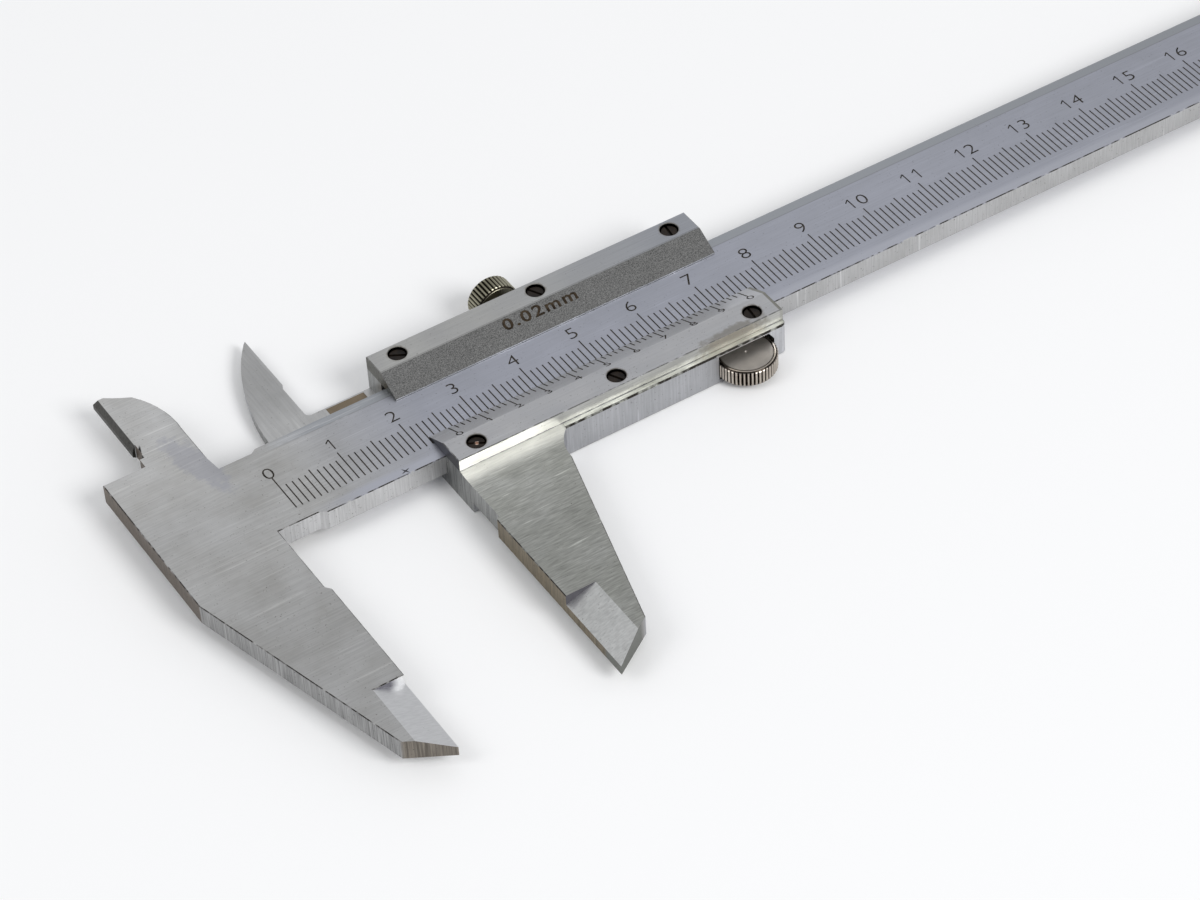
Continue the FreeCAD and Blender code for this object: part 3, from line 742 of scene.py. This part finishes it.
def slider_steel():
    material, tree, shader, place = new_finish("slider_steel", roughness=0.42)
    masks = masks_in(tree)
    along = coordinate(tree, place, "X")
    across = coordinate(tree, place, "Y")
    jaw_side = steel_in(tree, place, JAW_LINES, JAW_TONES, line_depth=0.5, dirt=0.5)
    milled = steel_in(tree, place, ACROSS, WALL_TONES, line_depth=0.22, dirt=0.6)
    top = slider_top(tree, place, masks, along, across, jaw_side)
    side = slider_walls(tree, masks, along, across, milled, top)
    edged = worn_edges(tree, place, masks, side, EDGE_DARK, EDGE_BRIGHT)
    finish_steel(tree, shader, masks, edged, jaw_side, 0.004 * MM)
    return material


paint("slider_body", slider_steel())
print("slider painted")

# %% [markdown]
# Both cover plates are satin on top. The vernier's bevel is ground like its flat, so that the lines
# read well, and the upper cover's bevel is sandblasted to a dark even grain. Their screws sit deep:
# the walls of the holes get black painted shade, and old oil has crept out around them as a faint
# brown ring.

# %% Screw holes: painted shade and oil rings
HOLE_RADIUS = 1.43 * MM
SCREW_NAMES = ["%s_screw_%d" % (plate, number) for plate in ("cover", "vernier") for number in (1, 2, 3)]
SCREW_PLACES = {name: middle_of(name) for name in SCREW_NAMES}
# Painted shade for the walls of the holes, and a brown ring of crept oil
HOLE_WALL_SHADE = (0.010, 0.009, 0.008)
OIL_BROWN = (0.22, 0.19, 0.15)


def from_screws(tree, place, plate):
    """Distance to the nearest screw's axis on one plate."""
    nearest = None
    for number in (1, 2, 3):
        reach = off_axis(tree, place, "Z", SCREW_PLACES["%s_screw_%d" % (plate, number)])
        nearest = reach if nearest is None else add_math(tree, "MINIMUM", nearest, reach)
    return nearest


def with_oiled_holes(tree, place, plate, colour):
    reach = from_screws(tree, place, plate)
    crept = uneven(tree, place, reach, 1500.0, 2.0, 0.9 * MM)
    ring = add_range(tree, crept, 2.2 * MM, 1.75 * MM, 0.0, 0.55)
    ringed = mix_colour(tree, ring, colour, OIL_BROWN)
    # Painted shade: the walls of the holes are black
    return mix_colour(tree, add_range(tree, reach, HOLE_RADIUS, HOLE_RADIUS - 0.02 * MM), ringed, HOLE_WALL_SHADE)


print("holes at", ", ".join("%.1f" % (centre.x / MM) for centre in SCREW_PLACES.values()), "mm")

# %% [markdown]
# The upper cover has three kinds of surface: the flat, which turns cooler to the right, the blasted
# bevel, and a left end that has gone olive. Modelled pits would need millions of faces, so the
# blasting is one fine noise that drives both the colour and the height of the bevel.

# %% Steel of the upper cover
COVER_TONES = [(0.58, 0.58, 0.56), (0.52, 0.52, 0.515)]
COVER_COOL = (0.44, 0.455, 0.49)
BLAST_GREY = (0.175, 0.175, 0.172)
COVER_WALL = (0.25, 0.25, 0.25)
COVER_END = (0.105, 0.105, 0.092)
# Painted shade for the cover's broken edges; their painted glints use EDGE_BRIGHT
COVER_EDGE = (0.30, 0.30, 0.29)


def upper_cover_steel():
    material, tree, shader, place = new_finish("cover_steel", roughness=0.4)
    masks = masks_in(tree)
    along = coordinate(tree, place, "X")
    flat = steel_in(tree, place, ALONG_X, COVER_TONES, line_depth=0.12, dirt=0.5)
    cool = ruled(tree, COVER_COOL, flat, 0.94, 1.06)
    cooler = mix_colour(tree, add_range(tree, along, 45 * MM, 75 * MM), flat["Colour"], cool)
    grain = add_range(tree, add_noise(tree, place, 7000.0, 1.0), *NOISE_SPAN)
    blasted = scale_colour(tree, BLAST_GREY, add_range(tree, grain, 0.0, 1.0, 0.5, 1.5))
    tone = mix_colour(tree, masks["Slope"], cooler, blasted)
    tone = mix_colour(tree, masks["Wall"], tone, COVER_WALL)
    ended = mix_colour(tree, masks["Cut End"], tone, ruled(tree, COVER_END, flat, 0.6, 1.5))
    edged = worn_edges(tree, place, masks, ended, COVER_EDGE, EDGE_BRIGHT)
    tree.links.new(with_oiled_holes(tree, place, "cover", edged), shader.inputs["Base Color"])
    rough = add_math(tree, "ADD", flat["Roughness"], weaken(tree, masks["Slope"], 0.25))
    tree.links.new(dull_edges(tree, masks, rough), shader.inputs["Roughness"])
    grained = mix_colour(tree, masks["Slope"], flat["Height"], grain)
    add_bump(tree, shader, grained, 0.006 * MM)
    return material


paint("upper_cover", upper_cover_steel())
print("upper cover painted")

# %% [markdown]
# The vernier plate shows its use: a brown stain where the thumb reaches for the roller, and a brown
# line across its right end. The joint below it gets painted shade. They could be painted on an
# image; masks from coordinates and noise do it without one, and stay sharp close up.

# %% Steel of the vernier plate
VERNIER_TONES = [(0.61, 0.61, 0.62), (0.55, 0.555, 0.575)]
VERNIER_WALL_TONES = [(0.52, 0.52, 0.50), (0.45, 0.45, 0.43)]
VERNIER_END = (0.09, 0.09, 0.10)
# Painted shade and painted glints for the vernier plate's broken edges
VERNIER_EDGE_DARK = (0.20, 0.20, 0.195)
VERNIER_EDGE_BRIGHT = (0.26, 0.26, 0.25)
# Painted shade in the joint below the plate
JOINT_DARK = (0.05, 0.05, 0.07)
THUMB_STAIN = (71.5 * MM, 21.2 * MM, 11.5 * MM, 2.6 * MM, 0.0, 0.7)
THUMB_BROWN = (0.24, 0.215, 0.17)
END_LINE_BROWN = (0.22, 0.215, 0.17)


def joint_dirt(tree, place, masks):
    """Painted shade: an uneven dark line along the foot of the plate's walls."""
    height = uneven(tree, place, coordinate(tree, place, "Z"), 1400.0, 2.0, 0.22 * MM)
    foot = add_range(tree, height, VERNIER_LOW.z + 0.24 * MM, VERNIER_LOW.z + 0.18 * MM)
    return both(tree, masks["Wall"], foot)


def vernier_steel():
    material, tree, shader, place = new_finish("vernier_steel", roughness=0.4)
    masks = masks_in(tree)
    along = coordinate(tree, place, "X")
    across = coordinate(tree, place, "Y")
    flat = steel_in(tree, place, ALONG_X, VERNIER_TONES, line_depth=0.10, dirt=0.5)
    # Painted light: the bevel is made a little lighter than the flat
    tone = scale_colour(tree, flat["Colour"], add_range(tree, masks["Slope"], 0.0, 1.0, 1.0, 1.16))
    milled = steel_in(tree, place, ALONG_X, VERNIER_WALL_TONES, line_depth=0.25, dirt=0.6)
    tone = mix_colour(tree, masks["Wall"], tone, milled["Colour"])
    tone = mix_colour(tree, masks["Cut End"], tone, VERNIER_END)
    # Painted shade along the joint
    tone = mix_colour(tree, weaken(tree, joint_dirt(tree, place, masks), 0.85), tone, JOINT_DARK)
    tone = mix_colour(tree, weaken(tree, stain(tree, place, *THUMB_STAIN), 0.6), tone, THUMB_BROWN)
    # A brown line across the plate's right end
    end_line = both(tree, add_range(tree, along, VERNIER_HIGH.x - 0.55 * MM, VERNIER_HIGH.x - 0.45 * MM),
                  add_range(tree, across, 21.0 * MM, 21.4 * MM))
    tone = mix_colour(tree, weaken(tree, end_line, 0.75), tone, END_LINE_BROWN)
    edged = worn_edges(tree, place, masks, tone, VERNIER_EDGE_DARK, VERNIER_EDGE_BRIGHT)
    finish_steel(tree, shader, masks, with_oiled_holes(tree, place, "vernier", edged), flat, 0.004 * MM)
    return material


paint("vernier_plate", vernier_steel())
print("vernier plate painted")

# %% [markdown]
# The screws are blackened steel and hardly show in their holes. One of them has a painted glint, a
# bright coppery spot in its middle. The gib is dull bronze with painted shade at its end next to the
# slider, and the hidden pieces are plain ground steel.

# %% Blackened screws, bronze gib and plain steel
BLACKENED = [(0.005, 0.004, 0.004), (0.022, 0.015, 0.010)]
SCREW_PAINTED_GLINT = (0.80, 0.62, 0.52)
BRONZE = [(0.31, 0.25, 0.18), (0.24, 0.195, 0.135)]
BRONZE_SPECK = (0.05, 0.04, 0.03)
GIB_END_SHADE = (0.045, 0.045, 0.035)
PLAIN_TONES = [(0.55, 0.55, 0.55), (0.47, 0.47, 0.475)]


def blackened():
    material, tree, shader, place = new_finish("black_screw", roughness=0.35, metallic=0.0)
    dull = use_group(tree, DULLING, place, Size=900.0).outputs
    shader.inputs["Specular IOR Level"].default_value = 0.2
    colour = mix_colour(tree, dull["Clouds"], *BLACKENED)
    # Painted glint: a bright coppery spot in the middle of one screw
    reach = off_axis(tree, place, "Z", SCREW_PLACES["vernier_screw_1"])
    spot = add_range(tree, uneven(tree, place, reach, 2600.0, 1.0, 0.5 * MM), 0.62 * MM, 0.46 * MM)
    tree.links.new(mix_colour(tree, spot, colour, SCREW_PAINTED_GLINT), shader.inputs["Base Color"])
    tree.links.new(spot, shader.inputs["Metallic"])
    return material


def bronze():
    material, tree, shader, place = new_finish("gib_bronze", roughness=0.45)
    dull = use_group(tree, DULLING, place, Size=400.0).outputs
    colour = mix_colour(tree, dull["Clouds"], *BRONZE)
    colour = mix_colour(tree, dull["Specks"], colour, BRONZE_SPECK)
    # Painted shade: the gib darker where it runs in under the slider's end
    gib_end_shade = add_range(tree, coordinate(tree, place, "X"), SLIDER_X0 - 1.6 * MM, SLIDER_X0 - 0.6 * MM)
    tree.links.new(mix_colour(tree, gib_end_shade, colour, GIB_END_SHADE), shader.inputs["Base Color"])
    return material


def plain_steel():
    material, tree, shader, place = new_finish("plain_steel", roughness=0.4)
    steel = steel_in(tree, place, ALONG_X, PLAIN_TONES, line_depth=0.2, dirt=0.4)
    tree.links.new(steel["Colour"], shader.inputs["Base Color"])
    tree.links.new(steel["Roughness"], shader.inputs["Roughness"])
    add_bump(tree, shader, steel["Height"], 0.004 * MM)
    return material


FINISHES = {"black_screw": blackened(), "gib_bronze": bronze(), "plain_steel": plain_steel()}
for part in frame["record"]["subparts"]:
    if part["material_slot"] in FINISHES:
        paint(part["node"], FINISHES[part["material_slot"]])
print("painted from the record:", ", ".join(FINISHES))

# %% [markdown]
# The roller and the lock screw were nickel plated. Thumbs have rubbed the crests of the knurling
# bright, and its grooves are darkened with grime and painted shade. Both pieces turn, so the masks
# measure the distance from each piece's own axis instead of asking which way a face looks, and
# they turn with it.

# %% Worn nickel
GROOVE_GRIME_AND_SHADE = (0.025, 0.020, 0.016)
NICKEL_SPECK = (0.10, 0.08, 0.06)
ROLLER_PLATING = [(0.60, 0.55, 0.49), (0.44, 0.39, 0.34)]
ROLLER_DISC = (0.47, 0.44, 0.405)
LOCK_PLATING = [(0.44, 0.42, 0.32), (0.30, 0.285, 0.21)]
DISC_RADIUS = 3.9 * MM               # the roller's flat disc, inside its lip
NECK_RADIUS = 2.0 * MM               # the lock screw's neck, below its head
ROLLER_AXIS = middle_of("thumb_roller")
ROLLER_RADIUS = radius_of("thumb_roller")
LOCK_AXIS = middle_of("lock_screw")
LOCK_RADIUS = radius_of("lock_screw")


def worn_nickel(name, plating):
    material, tree, shader, place = new_finish(name, roughness=0.35)
    dull = use_group(tree, DULLING, place, Size=500.0).outputs
    colour = mix_colour(tree, dull["Clouds"], *plating)
    colour = mix_colour(tree, dull["Specks"], colour, NICKEL_SPECK)
    return material, tree, shader, place, colour


def in_grooves(tree, reach, radius):
    """The knurling's grooves, between its roots and its crests."""
    return both(tree, add_range(tree, reach, radius - 0.34 * MM, radius - 0.30 * MM),
                add_range(tree, reach, radius - 0.07 * MM, radius - 0.16 * MM))


def roller_nickel():
    material, tree, shader, place, colour = worn_nickel("roller_nickel", ROLLER_PLATING)
    reach = off_axis(tree, place, "Z", ROLLER_AXIS)
    disc = add_range(tree, reach, DISC_RADIUS + 0.05 * MM, DISC_RADIUS)
    brushed = add_range(tree, add_noise(tree, place, 500.0, 4.0), *NOISE_SPAN, 0.88, 1.1)
    colour = mix_colour(tree, disc, colour, scale_colour(tree, ROLLER_DISC, brushed))
    lip = both(tree, add_range(tree, reach, DISC_RADIUS, DISC_RADIUS + 0.03 * MM),
               add_range(tree, reach, DISC_RADIUS + 0.18 * MM, DISC_RADIUS + 0.14 * MM))
    # Grime and painted shade in the knurling's grooves, and painted shade in the ring inside the lip
    shade = either(tree, in_grooves(tree, reach, ROLLER_RADIUS), lip)
    tree.links.new(mix_colour(tree, shade, colour, GROOVE_GRIME_AND_SHADE), shader.inputs["Base Color"])
    tree.links.new(add_range(tree, disc, 0.0, 1.0, 0.26, 0.55), shader.inputs["Roughness"])
    return material


def lock_nickel():
    material, tree, shader, place, colour = worn_nickel("lock_nickel", LOCK_PLATING)
    reach = off_axis(tree, place, "Y", LOCK_AXIS)
    # Painted shade on the neck under the head; grime and painted shade in the grooves
    neck = add_range(tree, reach, NECK_RADIUS, NECK_RADIUS - 0.05 * MM)
    shade = either(tree, in_grooves(tree, reach, LOCK_RADIUS), weaken(tree, neck, 0.8))
    tree.links.new(mix_colour(tree, shade, colour, GROOVE_GRIME_AND_SHADE), shader.inputs["Base Color"])
    tree.links.new(add_range(tree, shade, 0.0, 1.0, 0.33, 0.6), shader.inputs["Roughness"])
    return material


paint("thumb_roller", roller_nickel())
paint("lock_screw", lock_nickel())
print("roller radius %.2f mm, lock screw radius %.2f mm" % (ROLLER_RADIUS / MM, LOCK_RADIUS / MM))

# %% [markdown]
# The graduations are etched and filled with black. Each is modelled as a thin inlay that stands a
# hundredth of a millimetre proud, so it stays sharp from any side and needs no picture. A line is a
# small block laid on its surface; on the vernier's bevel the same block is tilted to the slope.

# %% Black fill and a helper for one line
INLAY = 0.03 * MM                    # thickness of the fill, most of it sunk in the steel
PROUD = 0.010 * MM
LINE_WIDTH = 0.19 * MM
FILL_TONES = [(0.010, 0.009, 0.008), (0.055, 0.048, 0.040)]    # fresh and worn


def black_fill(name, tones):
    material, tree, shader, place = new_finish(name, roughness=0.9, metallic=0.0)
    shader.inputs["Specular IOR Level"].default_value = 0.1
    dull = use_group(tree, DULLING, place, Size=1500.0).outputs
    tree.links.new(mix_colour(tree, dull["Clouds"], *tones), shader.inputs["Base Color"])
    return material


def line_on(bm, frame_of_surface, x, low, high, width=LINE_WIDTH):
    """One engraved line across X, between two places measured along the surface."""
    size = Matrix.Diagonal((width, high - low, INLAY, 1.0))
    middle = Matrix.Translation((x, (low + high) / 2, PROUD - INLAY / 2))
    bmesh.ops.create_cube(bm, size=1.0, matrix=frame_of_surface @ middle @ size)


def new_piece(name, bm, body, material):
    mesh = bpy.data.meshes.new(name)
    bm.to_mesh(mesh)
    bm.free()
    piece = bpy.data.objects.new(name, mesh)
    bpy.context.scene.collection.objects.link(piece)
    mesh.materials.append(material)
    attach(piece, body)
    print("%s: %d faces" % (name, len(mesh.polygons)))


BLACK_FILL = black_fill("black_fill", FILL_TONES)
print("line %.2f mm wide" % (LINE_WIDTH / MM))

# %% [markdown]
# The main scale counts millimetres. Every fifth line is a little longer and every tenth longer
# still, with its number of centimetres above it. The zero line runs on into its figure.

# %% Main scale
SCALE_FRAME = Matrix.Translation((ZERO_OFFSET, BEAM_EDGE, BEAM_FACE))
SCALE_LENGTH = 200                   # divisions of one millimetre
LINE_START = 3.2 * MM
LINE_ENDS = {10: 9.4 * MM, 5: 8.75 * MM, 1: 8.1 * MM}
FIGURE_FOOT = 10.2 * MM

bm = bmesh.new()
for count in range(SCALE_LENGTH + 1):
    step = next(n for n in (10, 5, 1) if count % n == 0)
    reach = FIGURE_FOOT if count == 0 else LINE_ENDS[step]
    line_on(bm, SCALE_FRAME, count * MM, LINE_START, reach)
new_piece("main_scale_lines", bm, "beam", BLACK_FILL)

# %% [markdown]
# Figures are text objects turned into mesh before they are placed, so each lies flat on its surface
# with its place in its own points. They are made a little thinner than the font draws them, as an
# engraver's single stroke would be.

# %% Helpers for figures
STROKE_THINNER = -0.012              # in text units, as the font draws it 1 high
FLAG_TURN = math.radians(-48)


def figure_on(bm, text, surface, x, foot, height, stretch, thin=STROKE_THINNER, spacing=1.0):
    """A text centred at x, standing on foot, laid on a surface and added to a bmesh."""
    curve = bpy.data.curves.new("figure", "FONT")
    curve.body = text
    curve.align_x = "CENTER"
    curve.offset = thin
    curve.space_character = spacing
    curve.resolution_u = 3
    curve.extrude = 0.02
    maker = bpy.data.objects.new("figure_maker", curve)
    mesh = bpy.data.meshes.new_from_object(maker)
    tops = [v.co.y for v in mesh.vertices]
    scale = height / (max(tops) - min(tops))
    flat = Matrix.Diagonal((scale * stretch, scale, INLAY / (2 * curve.extrude), 1.0))
    place = Matrix.Translation((x, foot - min(tops) * scale, PROUD - INLAY / 2))
    mesh.transform(surface @ place @ flat)
    bm.from_mesh(mesh)
    bpy.data.objects.remove(maker)
    bpy.data.curves.remove(curve)
    bpy.data.meshes.remove(mesh)


def one_on(bm, surface, x, foot, height):
    """The figure 1 as an engraver cuts it, an upright with a short flag."""
    top = foot + height
    upright = x + height * 0.09
    line_on(bm, surface, upright, foot, top)
    flag = Matrix.Translation((upright, top, 0.0)) @ Matrix.Rotation(FLAG_TURN, 4, "Z")
    line_on(bm, surface @ flag, 0.0, -height * 0.40, 0.0)


def number_on(bm, text, surface, x, foot, height, stretch, pitch=0.0, thin=STROKE_THINNER):
    """A number centred at x, its figures set one by one at an even pitch."""
    for place, figure in enumerate(text):
        figure_x = x + (place - (len(text) - 1) / 2) * pitch
        if figure == "1":
            one_on(bm, surface, figure_x, foot, height)
        else:
            figure_on(bm, figure, surface, figure_x, foot, height, stretch, thin)


print("figures: strokes thinner by %.3f of their height" % -STROKE_THINNER)

# %% [markdown]
# The numbers of the main scale count centimetres and stand over the longest lines. A font gives
# their round shapes at once. Only the 1 is built from two lines, to give it its short flag.

# %% Figures of the main scale
FIGURE_HEIGHT = 2.2 * MM
FIGURE_STRETCH = 1.15
FIGURE_PITCH = 2.1 * MM

bm = bmesh.new()
for centimetre in range(SCALE_LENGTH // 10 + 1):
    number_on(bm, str(centimetre), SCALE_FRAME, centimetre * 10 * MM, FIGURE_FOOT,
              FIGURE_HEIGHT, FIGURE_STRETCH, FIGURE_PITCH)
new_piece("main_scale_figures", bm, "beam", BLACK_FILL)

# %% [markdown]
# The vernier has 50 divisions in 49 mm, so one division is 0.98 mm and each line that meets a line
# of the main scale adds 0.02 mm. It lies on the plate's bevel, which starts at a thin edge close
# above the beam, so that line meets line without a step in height.

# %% Vernier
BEVEL_START = Vector((READING + ZERO_OFFSET, VERNIER_HIGH.y, VERNIER_LOW.z + 0.12 * MM))
BEVEL_RUN = 4.05 * MM                # how far the bevel runs in Y
BEVEL_RISE = 1.93 * MM
BEVEL_TILT = math.atan2(BEVEL_RISE, BEVEL_RUN)
VERNIER_FRAME = Matrix.Translation(BEVEL_START) @ Matrix.Rotation(-BEVEL_TILT, 4, "X")
DIVISION = 0.98 * MM
DIVISIONS = 50
LONG_LINE = 3.15 * MM
SHORT_LINE = 1.6 * MM
LINE_TOP = -0.05 * MM                # the lines stop just short of the thin edge

bm = bmesh.new()
for count in range(DIVISIONS + 1):
    down = LONG_LINE if count % 5 == 0 else SHORT_LINE
    line_on(bm, VERNIER_FRAME, count * DIVISION, -down, LINE_TOP)
new_piece("vernier_lines", bm, "slider", BLACK_FILL)
print("bevel %.1f degrees" % math.degrees(BEVEL_TILT))

# %% [markdown]
# The vernier's figures stand under every fifth line, smaller than those of the main scale. The last
# one is 0 again, because ten tenths make the next whole millimetre.

# %% Figures of the vernier
VERNIER_FOOT = -4.44 * MM
VERNIER_HEIGHT = 1.36 * MM
VERNIER_STRETCH = 1.25
VERNIER_THINNER = -0.004

bm = bmesh.new()
for tenth in range(11):
    number_on(bm, str(tenth % 10), VERNIER_FRAME, tenth * 5 * DIVISION, VERNIER_FOOT,
              VERNIER_HEIGHT, VERNIER_STRETCH, thin=VERNIER_THINNER)
new_piece("vernier_figures", bm, "slider", BLACK_FILL)

# %% [markdown]
# The smallest step that the vernier shows, 0.02 mm, is marked on the upper cover's blasted bevel. It
# is burnt in, so its strokes are thicker than the font's and its colour is brown black.

# %% Resolution mark
COVER_BEVEL_START = Vector((READING, COVER_LOW.y, COVER_LOW.z + 0.2 * MM))
COVER_BEVEL_RUN = 4.1 * MM
COVER_BEVEL_RISE = 2.15 * MM
COVER_TILT = math.atan2(COVER_BEVEL_RISE, COVER_BEVEL_RUN)
COVER_FRAME = Matrix.Translation(COVER_BEVEL_START) @ Matrix.Rotation(COVER_TILT, 4, "X")
MARK_X = 51.75 * MM
MARK_FOOT = 2.35 * MM
MARK_HEIGHT = 1.85 * MM
MARK_STRETCH = 1.36
MARK_THICKER = 0.020
MARK_SPACING = 1.18
BURNT_TONES = [(0.016, 0.011, 0.007), (0.06, 0.045, 0.03)]

bm = bmesh.new()
figure_on(bm, "0.02mm", COVER_FRAME, MARK_X - READING, MARK_FOOT, MARK_HEIGHT, MARK_STRETCH,
          MARK_THICKER, MARK_SPACING)
new_piece("resolution_mark", bm, "slider", black_fill("burnt_mark", BURNT_TONES))
